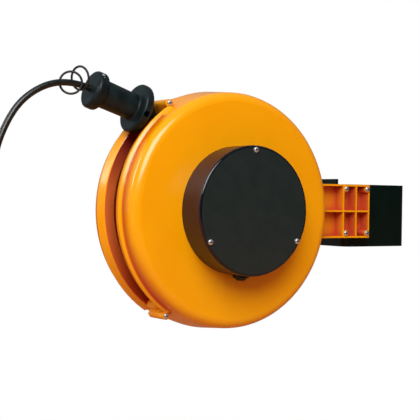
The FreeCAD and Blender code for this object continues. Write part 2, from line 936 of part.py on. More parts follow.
def drum():
    outer = flange_inner + flange_t
    bush_r = axle_r + bush_wall + thread_clearance
    back = spun(
        [
            (bush_r, outer, 0.0),
            (flange_r, outer, flange_edge_round),
            (flange_r, flange_inner, flange_edge_round),
            (core_r, flange_inner, 0.0),
            (core_r, -flange_inner, 0.0),
            (core_r - core_wall, -flange_inner, 0.0),
            (core_r - core_wall, flange_inner, 0.0),
            (hub_boss_r, flange_inner, 0.0),
            (hub_boss_r, hub_boss_inner, 0.0),
            (bush_r, hub_boss_inner, 0.0),
        ]
    )
    front = spun(
        [
            (bush_r, -outer, 0.0),
            (flange_r, -outer, flange_edge_round),
            (flange_r, -flange_inner, flange_edge_round),
            (hub_boss_r, -flange_inner, 0.0),
            (hub_boss_r, -hub_boss_inner, 0.0),
            (bush_r, -hub_boss_inner, 0.0),
        ]
    )
    screws = []
    front_wall = (-outer - past, -flange_inner + past)
    back_wall = (flange_inner - past, outer + past)
    for i in range(drum_screw_count):
        head = polar(drum_screw_r, full_turn * i / drum_screw_count, -outer)
        back = back.fuse(along_y(drum_boss_r, head.x, head.z, -flange_inner, flange_inner))
        screws.append(screw(head, (0, 1, 0), 2 * flange_inner))
    for i in range(drum_screw_count):
        at = polar(drum_screw_r, full_turn * i / drum_screw_count)
        thread_y = (-flange_inner - past, flange_inner - drum_screw_end)
        back = back.cut(along_y(m4_r + thread_clearance, at.x, at.z, *thread_y))
        front = front.cut(along_y(m4_r + hole_clearance, at.x, at.z, *front_wall))
    for i in range(3):
        at = polar(carrier_screw_r, thread_turn + third_turn * i)
        front = front.cut(along_y(m4_r + thread_clearance, at.x, at.z, *front_wall))
        at = polar(ratchet_screw_r, thread_turn + third_turn * i)
        back = back.cut(along_y(m4_r + thread_clearance, at.x, at.z, *back_wall))
    save("drum_back", back.removeSplitter())
    save("drum_front", front)
    save("drum_screws", *screws)


def bushes():
    outer = flange_inner + flange_t
    for name, side in (("back_bush", 1), ("front_bush", -1)):
        barrel = ring(axle_r + bush_wall, axle_r + running, side * (outer - bush_length), side * outer)
        flange = ring(bush_flange_r, axle_r + running, side * outer, side * (outer + bush_flange_t))
        save(name, barrel.fuse(flange).removeSplitter())


def axle_screw_angles():
    return [axle_screw_turn + full_turn * i / axle_screw_count for i in range(axle_screw_count)]


def axle():
    """The fixed axle, bolted inside the back half, with the sleeve that holds the spring."""
    inner = half_depth - wall
    outer = half_depth + back_boss_h
    shoulder = flange_inner + flange_t + bush_flange_t + gap
    body = along_y(axle_r, 0, 0, axle_front, outer)
    body = body.fuse(along_y(axle_shoulder_r, 0, 0, shoulder, inner))
    body = body.fuse(along_y(axle_flange_r, 0, 0, inner - axle_flange_t, inner))
    screws = []
    for angle in axle_screw_angles():
        at = polar(axle_screw_r, angle, outer)
        hole_y = (inner - axle_flange_t - past, inner + past)
        body = body.cut(along_y(m4_r + thread_clearance, at.x, at.z, *hole_y))
        screws.append(screw(at, (0, -1, 0), outer - inner + axle_flange_t))
    bush_face = -(flange_inner + flange_t + bush_flange_t)
    clip_start = bush_face - washer_t - gap
    clip_end = clip_start - clip_t
    groove_r = axle_r - clip_depth
    groove = ring(axle_r + past, groove_r, clip_end - 2 * clip_clearance, clip_start)
    save("main_axle", body.cut(groove).removeSplitter())
    save("axle_screws", *screws)
    washer = ring(bush_flange_r, axle_r + running, bush_face - gap / 2, bush_face - washer_t)
    save("thrust_washer", washer)
    opening_y = (clip_end - past, clip_start + past)
    opening = box((0, clip_r + past), opening_y, (-clip_half_opening, clip_half_opening))
    clip = ring(clip_r, groove_r + thread_clearance, clip_end, clip_start - clip_clearance)
    save("axle_clip", clip.cut(opening))
    save("spring_arbor", ring(arbor_r, axle_r + thread_clearance, -arbor_half, arbor_half))


def mainspring():
    """A flat spiral of half circles; its outer end is anchored in the drum's core."""
    inner_edges = []
    outer_edges = []
    end = None
    for i in range(spring_half_turns):
        centre = Vector(-spring_pitch / 4 if i % 2 else spring_pitch / 4, 0, 0)
        radius = spring_start_r + spring_pitch / 4 + spring_pitch / 2 * i
        sign = -1 if i % 2 else 1
        for edges, r in ((inner_edges, radius), (outer_edges, radius + spring_t)):
            start = centre + Vector(-r * sign, 0, 0)
            middle = centre + Vector(0, r * sign, 0)
            end = centre + Vector(r * sign, 0, 0)
            edges.append(Part.Arc(start, middle, end).toShape())
    first = [inner_edges[0].Vertexes[0].Point, outer_edges[0].Vertexes[0].Point]
    last = [inner_edges[-1].Vertexes[-1].Point, outer_edges[-1].Vertexes[-1].Point]
    joins = [Part.LineSegment(*first).toShape(), Part.LineSegment(*last).toShape()]
    outline = Part.Wire(Part.__sortEdges__(inner_edges + outer_edges + joins))
    strip = Part.Face(outline).extrude(Vector(0, 0, 2 * spring_half_width))
    strip.translate(Vector(0, 0, -spring_half_width))
    reach = core_r - core_wall - gap
    tab_x = (end.x - math.copysign(spring_t, end.x), math.copysign(reach, end.x))
    tab = box(tab_x, (-spring_t, 0.0), (-spring_half_width, spring_half_width))
    spring = strip.fuse(tab).removeSplitter()
    spring.rotate(Vector(), Vector(1, 0, 0), 90)
    save("mainspring", turned(spring, spring_turn))


def winding():
    """Inner layers as a plain ring, and the cable's top layer wound over it."""
    half = flange_inner - gap
    top = exit_r - cable_r - gap
    core = ring(top, core_r + gap, -half, half)
    save("winding_core", core)
    wire = coil_wire(exit_r, turn_pitch, winding_half_turns, 2 * cable_r)
    coil = turned(tube(wire, cable_r), exit_angle - 90.0)
    points = [p for edge in wire.OrderedEdges for p in edge.discretize(gap_samples)]
    apart = 2 * gap_samples
    nearest = min(a.distanceToPoint(b) for i, a in enumerate(points) for b in points[i + apart :])
    print("outer_winding least gap to itself", round(nearest - 2 * cable_r, 2))
    section = math.pi * cable_r**2
    print("outer_winding volume over section times length", round(coil.Volume / (section * wire.Length), 4))
    save("outer_winding", coil)


def slip_rings():
    outer = flange_inner + flange_t
    start = -outer
    end = ring_first_y - ring_pitch * (ring_count - 0.5) - separator_t / 2
    carrier = ring(carrier_r, carrier_bore_r, start, end)
    carrier = carrier.fuse(ring(carrier_flange_r, carrier_bore_r, start, start - carrier_flange_t))
    for i in range(ring_count + 1):
        y = ring_first_y + ring_pitch * (0.5 - i)
        carrier = carrier.fuse(ring(separator_r, carrier_bore_r, y - separator_t / 2, y + separator_t / 2))
    screws = []
    for i in range(3):
        at = polar(carrier_screw_r, thread_turn + third_turn * i, start - carrier_flange_t)
        hole_y = (start - carrier_flange_t - past, start + past)
        carrier = carrier.cut(along_y(m4_r + hole_clearance, at.x, at.z, *hole_y))
        screws.append(screw(at, (0, 1, 0), carrier_flange_t + flange_t + carrier_screw_past))
    rings = []
    for i in range(ring_count):
        y = ring_first_y - ring_pitch * i
        rings.append(ring(ring_r, carrier_r + thread_clearance, y - ring_w / 2, y + ring_w / 2))
    save("slip_ring_carrier", carrier.removeSplitter())
    save("slip_rings", *rings)
    save("carrier_screws", *screws)


def pawl_front_y():
    return flange_inner + flange_t + ratchet_spacer + (ratchet_t - pawl_t) / 2


def pawl_back_y():
    return pawl_front_y() + pawl_t


def ratchet():
    start = flange_inner + flange_t
    points = []
    for i in range(ratchet_teeth):
        angle = ratchet_phase + full_turn * i / ratchet_teeth
        points.append(polar(ratchet_root_r, angle, start + ratchet_spacer))
        points.append(polar(ratchet_tip_r, angle + ratchet_tooth_lean, start + ratchet_spacer))
    points.append(points[0])
    top = start + ratchet_spacer + ratchet_t
    hub_r = ratchet_root_r - ratchet_hub_step
    wheel = Part.Face(Part.makePolygon(points)).extrude(Vector(0, ratchet_t, 0))
    wheel = wheel.fuse(along_y(hub_r, 0, 0, start, start + ratchet_spacer + past))
    wheel = wheel.cut(along_y(ratchet_bore_r, 0, 0, start - past, top + past))
    screws = []
    for i in range(3):
        at = polar(ratchet_screw_r, thread_turn + third_turn * i, top)
        wheel = wheel.cut(along_y(m4_r + hole_clearance, at.x, at.z, start - past, top + past))
        screws.append(screw(at, (0, -1, 0), top - flange_inner + ratchet_screw_past))
    save("ratchet_wheel", wheel.removeSplitter())
    save("ratchet_screws", *screws)


def leaf_anchor():
    """A post inside the back half that the pawl's leaf spring is fixed in."""
    at = leaf_root()
    post = along_y(leaf_post_r, at.x, at.z, pawl_front_y(), half_depth - past)
    return post.cut(leaf_bar(leaf_t / 2 + thread_clearance, leaf_slot_length, leaf_slot_back))


def leaf_root():
    return polar(pawl_pivot_r + leaf_post_out, pawl_tip_angle + leaf_post_turn)


def leaf_way():
    """The leaf runs from its post to rest just outside the pawl's back."""
    tip = polar(pawl_tip_r, pawl_tip_angle)
    pivot = polar(pawl_pivot_r, pawl_pivot_angle)
    along = (pivot - tip).normalize()
    out = Vector(-along.z, 0, along.x)
    target = tip + along * leaf_touch_from_tip + out * leaf_touch_out
    return (target - leaf_root()).normalize()


def leaf_bar(half_thickness, length, back):
    """A thin bar along the leaf's line, starting behind the post's centre."""
    way = leaf_way()
    start = pawl_front_y() + leaf_side_gap
    bar = box((-back, length), (start, start + leaf_h), (-half_thickness, half_thickness))
    angle = math.degrees(math.atan2(way.z, way.x))
    return moved(turned(bar, angle), leaf_root())


def pawl():
    y0 = pawl_front_y()
    pivot = polar(pawl_pivot_r, pawl_pivot_angle, y0)
    tip = polar(pawl_tip_r, pawl_tip_angle, y0)
    along = (tip - pivot).normalize()
    out = Vector(along.z, 0, -along.x)
    if out.dot(tip) < 0:
        out = out * -1
    nose = tip - along * pawl_nose
    corners = [
        pivot + out * pawl_side,
        nose + out * pawl_nose_back,
        tip + out * pawl_tip_t,
        tip,
        nose - out * pawl_nose_front,
        pivot - out * pawl_side,
    ]
    blade = Part.Face(Part.makePolygon(corners + corners[:1])).extrude(Vector(0, pawl_t, 0))
    eye = along_y(pawl_eye_r, pivot.x, pivot.z, y0, y0 + pawl_t)
    hole = along_y(pawl_pin_r + running, pivot.x, pivot.z, y0 - past, y0 + pawl_t + past)
    save("pawl", blade.fuse(eye).cut(hole).removeSplitter())
    head_end = y0 - gap / 3
    pin = along_y(pawl_pin_r, pivot.x, pivot.z, head_end - pawl_pin_head_t, half_depth - wall)
    pin = pin.fuse(along_y(pawl_pin_head_r, pivot.x, pivot.z, head_end - pawl_pin_head_t, head_end))
    save("pawl_pin", pin.removeSplitter())
    save("pawl_spring", leaf_bar(leaf_t / 2, leaf_length, leaf_back))


# What the cable carries: stop, tie cord, tail and coupling socket

exit_foot = polar(exit_r, exit_angle - 90.0)
exit_way = polar(1.0, exit_angle)


def on_exit(along, up=0.0, y=0.0):
    """A point on the cable's exit line, counted from where it leaves the drum."""
    return exit_foot + exit_way * along + polar(up, exit_angle - 90.0) + Vector(0, y, 0)


def stop_body():
    """The whole stop as one turned form, before it is split along the cable."""
    bore = cable_r + stop_bore_clearance
    section = rounded_wire(
        [
            (stop_nose, bore, 0.0),
            (stop_nose, stop_nose_r, stop_nose_round),
            (stop_nose + stop_nose_length, stop_nose_r, 0.0),
            (stop_flange_start, stop_flange_r, stop_flange_back_round),
            (stop_flange_end, stop_flange_r, stop_flange_round),
            (stop_flange_end, stop_barrel_r, stop_barrel_round),
            (stop_outer_start, stop_barrel_end_r, stop_barrel_round),
            (stop_outer_start, stop_outer_r, stop_outer_round),
            (stop_end, stop_outer_r, stop_outer_round),
            (stop_end, bore, 0.0),
        ]
    )
    body = Part.Face(section).revolve(Vector(), Vector(1, 0, 0), full_turn)
    return moved(turned(body, exit_angle), exit_foot)


def cable_stop():
    """Two halves of one mould: each has the heads of two screws and the threads of two."""
    body = stop_body()
    wide = 3 * stop_flange_r
    centre = on_exit(stop_flange_end)
    halves = []
    for side in (-1, 1):
        x = (centre.x - wide, centre.x + wide)
        z = (centre.z - wide, centre.z + wide)
        halves.append(body.common(box(x, (0, side * wide), z)))
    flange_middle = (stop_flange_start + stop_flange_end) / 2
    outer_middle = (stop_outer_start + stop_end) / 2
    rows = ((flange_middle, -stop_flange_screw_up), (outer_middle, stop_outer_screw_up))
    screws = []
    for i, side in enumerate((-1, 1)):
        for along, up in rows:
            head = on_exit(along, -side * up, side * stop_pocket_floor)
            into = Vector(0, -side, 0)
            pocket_hole = rod(stop_pocket_r, head, head - into * wide)
            clear_end = head + into * (stop_pocket_floor + past)
            clear = rod(m4_r + hole_clearance, head - into * past, clear_end)
            tapped = rod(m4_r + thread_clearance, head, head + into * (2 * stop_pocket_floor))
            halves[i] = halves[i].cut([pocket_hole, clear])
            halves[1 - i] = halves[1 - i].cut(tapped)
            screws.append(screw(head, into, 2 * stop_pocket_floor - stop_screw_end))
    save("stop_front_half", halves[0].removeSplitter())
    save("stop_back_half", halves[1].removeSplitter())
    save("stop_screws", *screws)


def cables():
    lead = rod(cable_r, on_exit(lead_start * cable_r), on_exit(stop_end))
    save("lead_out_cable", lead)
    straight = [on_exit(stop_end), on_exit(stop_end + tail_straight)]
    route = straight + [Vector(*p) for p in tail_route]
    wire = cord_wire("tail_cable", route)
    tail = tube(wire, cable_r)
    share = tail.Volume / (math.pi * cable_r**2 * wire.Length)
    print("tail_cable length", round(wire.Length, 1), "volume ratio", round(share, 4))
    save("tail_cable", tail)
    return route


def save_tie_rings():
    loops = [Part.makeTorus(radius, tie_r, centre, way) for centre, way, radius in tie_rings]
    save("tie_rings", *loops)


def coupling(end):
    """The socket on the end of the tail, hanging straight down from it."""
    def at(drop):
        return end - Vector(0, 0, drop)

    def upright(corners):
        body = Part.Face(rounded_wire([(r, -drop, f) for r, drop, f in corners]))
        body = body.revolve(Vector(), Vector(0, 1, 0), full_turn)
        body.rotate(Vector(), Vector(1, 0, 0), 90)
        return moved(body, end)

    bore = cable_r + stop_bore_clearance
    clamp = upright(
        [
            (bore, -nut_grip, 0.0),
            (nut_tip_r, -nut_grip, nut_tip_round),
            (nut_r, nut_shoulder, nut_round),
            (nut_r, nut_length, 0.0),
            (bore, nut_length, 0.0),
        ]
    )
    save("coupler_nut", clamp)
    bottom = nut_length + coupler_length
    top = bottom - recess_depth - insert_t
    body = upright(
        [
            (0.0, nut_length, 0.0),
            (coupler_neck_r, nut_length, coupler_edge_round),
            (coupler_neck_r, nut_length + coupler_neck_h, 0.0),
            (coupler_r, nut_length + coupler_shoulder, coupler_shoulder_round),
            (coupler_r, bottom, coupler_edge_round),
            (recess_r, bottom, 0.0),
            (recess_r, top, 0.0),
            (0.0, top, 0.0),
        ]
    )
    save("coupler_body", body)
    insert = rod(recess_r - insert_clearance, at(top), at(top + insert_t))
    sleeves = []
    for x in (-pin_hole_x, pin_hole_x):
        side = Vector(x, 0, 0)
        sleeve_end = at(top + sleeve_length) + side
        insert = insert.cut(rod(sleeve_r + thread_clearance, at(top) + side, sleeve_end))
        insert = insert.cut(rod(pin_hole_r, at(top) + side, at(top + insert_t + past) + side))
        sleeves.append(pipe(sleeve_r, sleeve_r - sleeve_wall, at(top + sleeve_top) + side, sleeve_end))
    clips = []
    clip_outer = recess_r - 2 * insert_clearance
    for side in (-1, 1):
        clip_y = (side * (clip_outer - earth_clip_t), side * clip_outer)
        clip = box((-clip_half_w, clip_half_w), clip_y, (clip_below_face - recess_depth, 0))
        clips.append(moved(clip, at(top + insert_t)))
    save("coupler_insert", insert)
    save("coupler_sleeves", *sleeves)
    save("earth_clips", *clips)


save("front_shell", front_shell().cut(holder_screw_holes()))
save("back_shell", back_shell())
shell_fasteners()
arm_fasteners()
wall_bracket()
slip_ring_cover()
gland()
brush_gear()
terminals()
drum()
bushes()
axle()
mainspring()
winding()
slip_rings()
ratchet()
pawl()
cable_stop()
tail_points = cables()
save_tie_rings()
coupling(tail_points[-1])
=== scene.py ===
# %% [markdown]
# # A wall-mounted cable reel
# This lesson dresses a spring-rewind cable reel for a portrait. The solid parts come
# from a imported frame; this script gives each one the surface that it has in life,
# and makes the pieces that solid modelling leaves plain: the cable, its winding, two
# tie rings and a rounded nose in the mouth. Everything is in metres, with +Z up and
# +Y into the wall.

# %% Load the frame
import json
import math

import bmesh
import bpy
import numpy as np
from mathutils import Matrix, Vector


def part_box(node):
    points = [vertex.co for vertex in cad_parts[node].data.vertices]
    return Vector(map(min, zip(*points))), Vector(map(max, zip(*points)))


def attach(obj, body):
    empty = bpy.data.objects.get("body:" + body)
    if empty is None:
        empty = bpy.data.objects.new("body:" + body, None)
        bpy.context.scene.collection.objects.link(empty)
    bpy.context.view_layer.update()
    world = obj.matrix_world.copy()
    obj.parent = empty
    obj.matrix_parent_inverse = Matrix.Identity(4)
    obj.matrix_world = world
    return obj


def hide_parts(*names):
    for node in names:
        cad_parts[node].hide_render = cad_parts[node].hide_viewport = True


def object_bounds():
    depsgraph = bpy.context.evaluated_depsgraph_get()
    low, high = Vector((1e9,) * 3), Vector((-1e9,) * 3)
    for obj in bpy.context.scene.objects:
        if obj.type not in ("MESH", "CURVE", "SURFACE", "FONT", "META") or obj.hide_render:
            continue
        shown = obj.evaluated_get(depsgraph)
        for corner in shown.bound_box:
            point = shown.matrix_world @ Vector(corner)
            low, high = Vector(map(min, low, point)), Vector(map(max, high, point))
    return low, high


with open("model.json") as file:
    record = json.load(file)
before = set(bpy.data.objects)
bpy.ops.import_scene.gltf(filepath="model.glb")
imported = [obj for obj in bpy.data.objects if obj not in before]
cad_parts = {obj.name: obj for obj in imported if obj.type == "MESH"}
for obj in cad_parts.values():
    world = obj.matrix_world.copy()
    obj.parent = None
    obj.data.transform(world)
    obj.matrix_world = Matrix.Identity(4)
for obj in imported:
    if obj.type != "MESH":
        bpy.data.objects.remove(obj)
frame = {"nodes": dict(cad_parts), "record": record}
nodes = frame["nodes"]
cad_box = [list(corner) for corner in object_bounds()]
MM = 0.001
print("nodes in the frame:", len(nodes))

# %% [markdown]
# ## Where the hub is
# The frame's origin is on the wall, between the bracket's bolts. Round pieces are
# easier to describe from the drum's own centre, so that point is found first: it lies
# on the line of the bush that the axle runs in, at the housing's middle plane.

# %% Hub and exit line
HUB_FROM_WALL = 0.092
bush_low, bush_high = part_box("front_bush")
HUB = np.array([(bush_low.x + bush_high.x) / 2, -HUB_FROM_WALL, (bush_low.z + bush_high.z) / 2])
EXIT_RADIUS = 83.0 * MM
EXIT_ANGLE = math.radians(162.0)
EXIT_WAY = np.array([math.cos(EXIT_ANGLE), 0.0, math.sin(EXIT_ANGLE)])
EXIT_UP = np.array([math.sin(EXIT_ANGLE), 0.0, -math.cos(EXIT_ANGLE)])
EXIT_FOOT = HUB + EXIT_RADIUS * EXIT_UP
CABLE_R = 4.0 * MM
LIP_RADIUS = 155.0 * MM
STOP_REACH = 85.9 * MM
STOP_END = math.sqrt(LIP_RADIUS**2 - EXIT_RADIUS**2) + STOP_REACH
print("hub at", np.round(HUB, 4), "stop ends at", round(STOP_END, 4))


def from_hub(points):
    """Points given in millimetres from the hub, as metres in the frame."""
    return HUB + np.asarray(points, float) * MM


def on_exit(along):
    """A point on the cable's straight way out of the drum, in metres from where it leaves."""
    return EXIT_FOOT + EXIT_WAY * along


# %% [markdown]
# ## The camera
# A photograph fixes where its camera stood. Round edges are the best evidence: the
# ellipses that the cover and the housing make give the angle, and the way they grow
# towards the viewer gives the distance. The values below came from such a fit.

# %% Camera at the photograph's angle
CAMERA_FROM_HUB = (-802.0, -1213.5, 13.6)
CAMERA_RIGHT = Vector((0.8356, -0.5491, 0.0144)).normalized()
CAMERA_BACK = Vector((-0.5493, -0.8356, 0.0095)).normalized()
FOCAL_PIXELS = 1118.8
PHOTO_WIDTH = 420
camera_up = CAMERA_BACK.cross(CAMERA_RIGHT).normalized()
camera_data = bpy.data.cameras.new("camera")
camera_data.sensor_width = 36.0
camera_data.lens = FOCAL_PIXELS / PHOTO_WIDTH * camera_data.sensor_width
camera = bpy.data.objects.new("camera", camera_data)
bpy.context.scene.collection.objects.link(camera)
turn = Matrix((CAMERA_RIGHT, camera_up, CAMERA_BACK)).transposed().to_4x4()
camera.matrix_world = Matrix.Translation(Vector(from_hub(CAMERA_FROM_HUB))) @ turn
bpy.context.scene.camera = camera
bpy.context.scene.view_settings.view_transform = "Standard"
print("lens", round(camera_data.lens, 2), "mm")

# %% [markdown]
# ## Colours and nodes
# Colours are written as a painter's hex values. Shaders work in linear light, so one
# function converts them. A second small function adds a node with its settings and
# links, and the others build on it, which keeps the recipes short enough to read.
# A mask is a grey value that is 1 where something applies and 0 elsewhere.


# %% Helpers for materials
NOISE_LOW = 0.35
NOISE_HIGH = 0.65
AO_SAMPLES = 8


def linear(hex_colour):
    """A #rrggbb colour as linear red, green, blue and an alpha of 1."""
    parts = [int(hex_colour[i : i + 2], 16) / 255 for i in (1, 3, 5)]
    curve = [c / 12.92 if c <= 0.04045 else ((c + 0.055) / 1.055) ** 2.4 for c in parts]
    return (*curve, 1.0)


def add(tree, kind, settings=None, links=None):
    """Adds one node: settings name its sockets or properties, links join its sockets to outputs."""
    made = tree.nodes.new(kind)
    for name, value in (settings or {}).items():
        if name in made.inputs:
            made.inputs[name].default_value = value
        else:
            setattr(made, name, value)
    for name, source in (links or {}).items():
        tree.links.new(source, made.inputs[name])
    return made


def new_material(name):
    """An empty node material with a Principled shader on its output."""
    material = bpy.data.materials.new(name)
    material.use_nodes = True
    tree = material.node_tree
    tree.nodes.clear()
    shader = add(tree, "ShaderNodeBsdfPrincipled")
    add(tree, "ShaderNodeOutputMaterial", None, {"Surface": shader.outputs["BSDF"]})
    return material, tree, shader


def place(tree):
    """The object's own coordinates, in metres."""
    return add(tree, "ShaderNodeTexCoord").outputs["Object"]


def noise(tree, size, detail):
    """A grey noise whose features are about size metres across."""
    settings = {"Scale": 1.0 / size, "Detail": detail}
    return add(tree, "ShaderNodeTexNoise", settings, {"Vector": place(tree)}).outputs["Fac"]


def ramp(tree, source, low, high):
    """A blend between two hex colours, over the greys where a noise has most of its range."""
    made = add(tree, "ShaderNodeValToRGB", None, {"Fac": source})
    made.color_ramp.elements[0].position = NOISE_LOW
    made.color_ramp.elements[1].position = NOISE_HIGH
    made.color_ramp.elements[0].color = linear(low)
    made.color_ramp.elements[1].color = linear(high)
    return made.outputs["Color"]


def between(tree, source, low, high, start=0.0, end=1.0):
    """A grey value carried from the range start to end into the range low to high."""
    settings = {"From Min": start, "From Max": end, "To Min": low, "To Max": high}
    return add(tree, "ShaderNodeMapRange", settings, {"Value": source}).outputs["Result"]


def rise(tree, source, span):
    """A mask that is 0 below a span of values and 1 above it."""
    return between(tree, source, 0.0, 1.0, *span)


def fall(tree, source, span):
    """A mask that is 1 below a span of values and 0 above it."""
    return between(tree, source, 1.0, 0.0, *span)


def calc(tree, operation, first, second=None):
    """The result of one Math node on one or two grey values."""
    links = {0: first} if second is None else {0: first, 1: second}
    return add(tree, "ShaderNodeMath", {"operation": operation}, links).outputs[0]


def product(tree, first, *others):
    """Masks multiplied: 1 only where each of them is."""
    for other in others:
        first = calc(tree, "MULTIPLY", first, other)
    return first


def with_fixed(tree, operation, vector, fixed):
    """The outputs of one Vector Math node on a vector and a fixed one."""
    made = add(tree, "ShaderNodeVectorMath", {"operation": operation}, {0: vector})
    made.inputs[1].default_value = fixed
    return made.outputs


def blend(tree, mask, first, second):
    """The first colour where a mask is 0, the second where it is 1; each is a hex colour or a socket."""
    made = add(tree, "ShaderNodeMix", {"data_type": "RGBA"}, {"Factor": mask})
    for socket, colour in (("A", first), ("B", second)):
        if isinstance(colour, str):
            made.inputs[socket].default_value = linear(colour)
        else:
            tree.links.new(colour, made.inputs[socket])
    return made.outputs["Result"]


def closed_in(tree, reach, open_shares):
    """A mask of narrow places, where the piece itself hides most of what is round it, within a reach."""
    settings = {"samples": AO_SAMPLES, "only_local": True, "Distance": reach}
    return fall(tree, add(tree, "ShaderNodeAmbientOcclusion", settings).outputs["AO"], open_shares)


def bump(tree, height, distance, strength, normal=None):
    """A bump from a height, with its depth in metres."""
    links = {"Height": height}
    if normal:
        links["Normal"] = normal
    made = add(tree, "ShaderNodeBump", {"Distance": distance, "Strength": strength}, links)
    return made.outputs["Normal"]


# %% [markdown]
# ## Orange ABS
# The housing is injection-moulded ABS, coloured all through. A polished mould leaves
# a smooth, slightly waxy gloss, with a broad waviness where the plastic shrank and a
# fine orange-peel that softens reflections. The plastic's own colour hardly varies.
# Where light has to bounce between orange walls, each bounce takes out more green, so
# such places look red in shade; that shade is painted into the colour here. An ambient
# occlusion node that sees only the piece itself finds the pockets. Masks made from the
# place round the drum find the others: the mouth's walls, painted darker, lighter in
# their middle and darkest at the upper end under the stop; the groove behind the lip
# with its shaded lower end; and the inner faces.
# A share here is X over the radius: -1 is straight to the left of the hub.


# %% Where the housing is hollow
SOFT_EDGE = 1.0 * MM
MOUTH_RADIUS = 150.9 * MM
MOUTH_HALF = 29.0 * MM
MOUTH_SHARES = (-0.64, -0.62)
MIDDLE_SHARES = (-0.98, -0.75)
UPPER_HEIGHTS = (25 * MM, 95 * MM)
GROOVE_START = 28.5 * MM
GROOVE_DEPTHS = (33.5 * MM, 43.0 * MM)
GROOVE_RADIUS = 152.0 * MM
SHADE_DEPTHS = (34.0 * MM, 52.0 * MM)
SHADE_HEIGHTS = (-110 * MM, -40 * MM)
SHADE_SHARES = (-0.6, -0.5)
INSIDE_RADIUS = 150.6 * MM
INSIDE_DEPTH = 53.0 * MM
FACING_SPAN = (-0.4, -0.1)


def below(tree, value, edge):
    """A mask of the values below an edge, with a soft step that ends there."""
    return fall(tree, value, (edge - SOFT_EDGE, edge))


def above(tree, value, edge):
    """A mask of the values above an edge, with a soft step that ends there."""
    return rise(tree, value, (edge - SOFT_EDGE, edge))


def from_axis(tree):
    """The way from the hub, and the part of it that is square to the drum's axis."""
    way = with_fixed(tree, "SUBTRACT", place(tree), HUB)[0]
    return way, with_fixed(tree, "MULTIPLY", way, (1.0, 0.0, 1.0))[0]


def round_hub(tree):
    """Radius about the drum's axis, depth from its middle, X over the radius, height over the axis."""
    way, flat = from_axis(tree)
    radius = add(tree, "ShaderNodeVectorMath", {"operation": "LENGTH"}, {0: flat}).outputs["Value"]
    parts = add(tree, "ShaderNodeSeparateXYZ", None, {0: way}).outputs
    return radius, calc(tree, "ABSOLUTE", parts["Y"]), calc(tree, "DIVIDE", parts["X"], radius), parts["Z"]


def facing_in(tree):
    """A mask of surfaces that face the drum: the normal points to its axis, or to its middle plane."""
    way, flat = from_axis(tree)
    normal = add(tree, "ShaderNodeTexCoord").outputs["Normal"]
    outward = add(tree, "ShaderNodeVectorMath", {"operation": "NORMALIZE"}, {0: flat}).outputs[0]
    along = add(tree, "ShaderNodeVectorMath", {"operation": "DOT_PRODUCT"}, {0: normal, 1: outward})
    side = calc(tree, "SIGN", add(tree, "ShaderNodeSeparateXYZ", None, {0: way}).outputs["Y"])
    across = product(tree, side, add(tree, "ShaderNodeSeparateXYZ", None, {0: normal}).outputs["Y"])
    return fall(tree, calc(tree, "MINIMUM", along.outputs["Value"], across), FACING_SPAN)


def painted_light_masks(tree):
    """Masks by name, of the places where light and shade are painted into the housing's colour."""
    radius, depth, share, height = round_hub(tree)
    toward = fall(tree, share, MOUTH_SHARES)
    in_lip = below(tree, radius, GROOVE_RADIUS)
    past = above(tree, depth, GROOVE_START)
    low = fall(tree, height, SHADE_HEIGHTS)
    near_lug = fall(tree, share, SHADE_SHARES)
    hollow = product(tree, below(tree, radius, INSIDE_RADIUS), below(tree, depth, INSIDE_DEPTH))
    # middle is where the mouth's wall gets painted light; upper is where the stop's shadow is painted on
    # it.
    return {
        "mouth": product(tree, below(tree, radius, MOUTH_RADIUS), below(tree, depth, MOUTH_HALF), toward),
        "middle": fall(tree, share, MIDDLE_SHARES),
        "upper": rise(tree, height, UPPER_HEIGHTS),
        "groove": product(tree, fall(tree, depth, GROOVE_DEPTHS), past, in_lip, toward),
        "shade": product(tree, fall(tree, depth, SHADE_DEPTHS), past, in_lip, low, near_lug),
        "inside": product(tree, hollow, facing_in(tree)),
    }


# %% Orange ABS, polished mould
RECESS_REACH = 30 * MM
RECESS_SHARES = (0.35, 0.8)
SKIN_COLOURS = ("#F1A800", "#F3AC02")
# Painted shade: these colours stand in for shade in the pockets, the groove, its lower stretch and the
# inner faces.
POCKET_SHADE_COLOUR = "#CC5030"
HOLLOW_SHADE_COLOURS = {"groove": "#C46200", "shade": "#D2501C", "inside": "#F04E1E"}
# Painted shade on the mouth's walls, with painted light in the middle and a painted shadow of the stop at
# the upper end.
WALL_SHADE_COLOUR = "#E0562A"
WALL_LIGHT_AND_SHADOW = {"middle": "#FF8440", "upper": "#96242C"}


def orange_abs():
    """An orange skin; painted shade for each hollow goes over the one before, and the mouth's painted light
    and shade over all.
    """
    material, tree, shader = new_material("orange_abs")
    masks = painted_light_masks(tree)
    broad = noise(tree, 60 * MM, detail=2.0)
    skin = ramp(tree, broad, *SKIN_COLOURS)
    # Every colour laid over the skin from here on is painted shade, or painted light in the mouth's middle.
    colour = blend(tree, closed_in(tree, RECESS_REACH, RECESS_SHARES), skin, POCKET_SHADE_COLOUR)
    for part, tone in HOLLOW_SHADE_COLOURS.items():
        colour = blend(tree, masks[part], colour, tone)
    mouth_light_and_shade = WALL_SHADE_COLOUR
    for part, tone in WALL_LIGHT_AND_SHADOW.items():
        mouth_light_and_shade = blend(tree, masks[part], mouth_light_and_shade, tone)
    tree.links.new(blend(tree, masks["mouth"], colour, mouth_light_and_shade), shader.inputs["Base Color"])
    peel = noise(tree, 1.4 * MM, detail=2.0)
    scuff = noise(tree, 9 * MM, detail=4.0)
    tree.links.new(between(tree, scuff, low=0.17, high=0.24), shader.inputs["Roughness"])
    waves = bump(tree, broad, 0.6 * MM, strength=0.5)
    tree.links.new(bump(tree, peel, 0.03 * MM, strength=0.6, normal=waves), shader.inputs["Normal"])
    shader.inputs["IOR"].default_value = 1.53
    shader.inputs["Subsurface Weight"].default_value = 0.05
    shader.inputs["Subsurface Radius"].default_value = (0.004, 0.0015, 0.0005)
    return material


# %% [markdown]
# ## Black glass-filled nylon
# Stop and gland are nylon with glass fibre. The fibres leave a fine, uneven satin
# skin: near black, with a faint cool sheen where light grazes it.


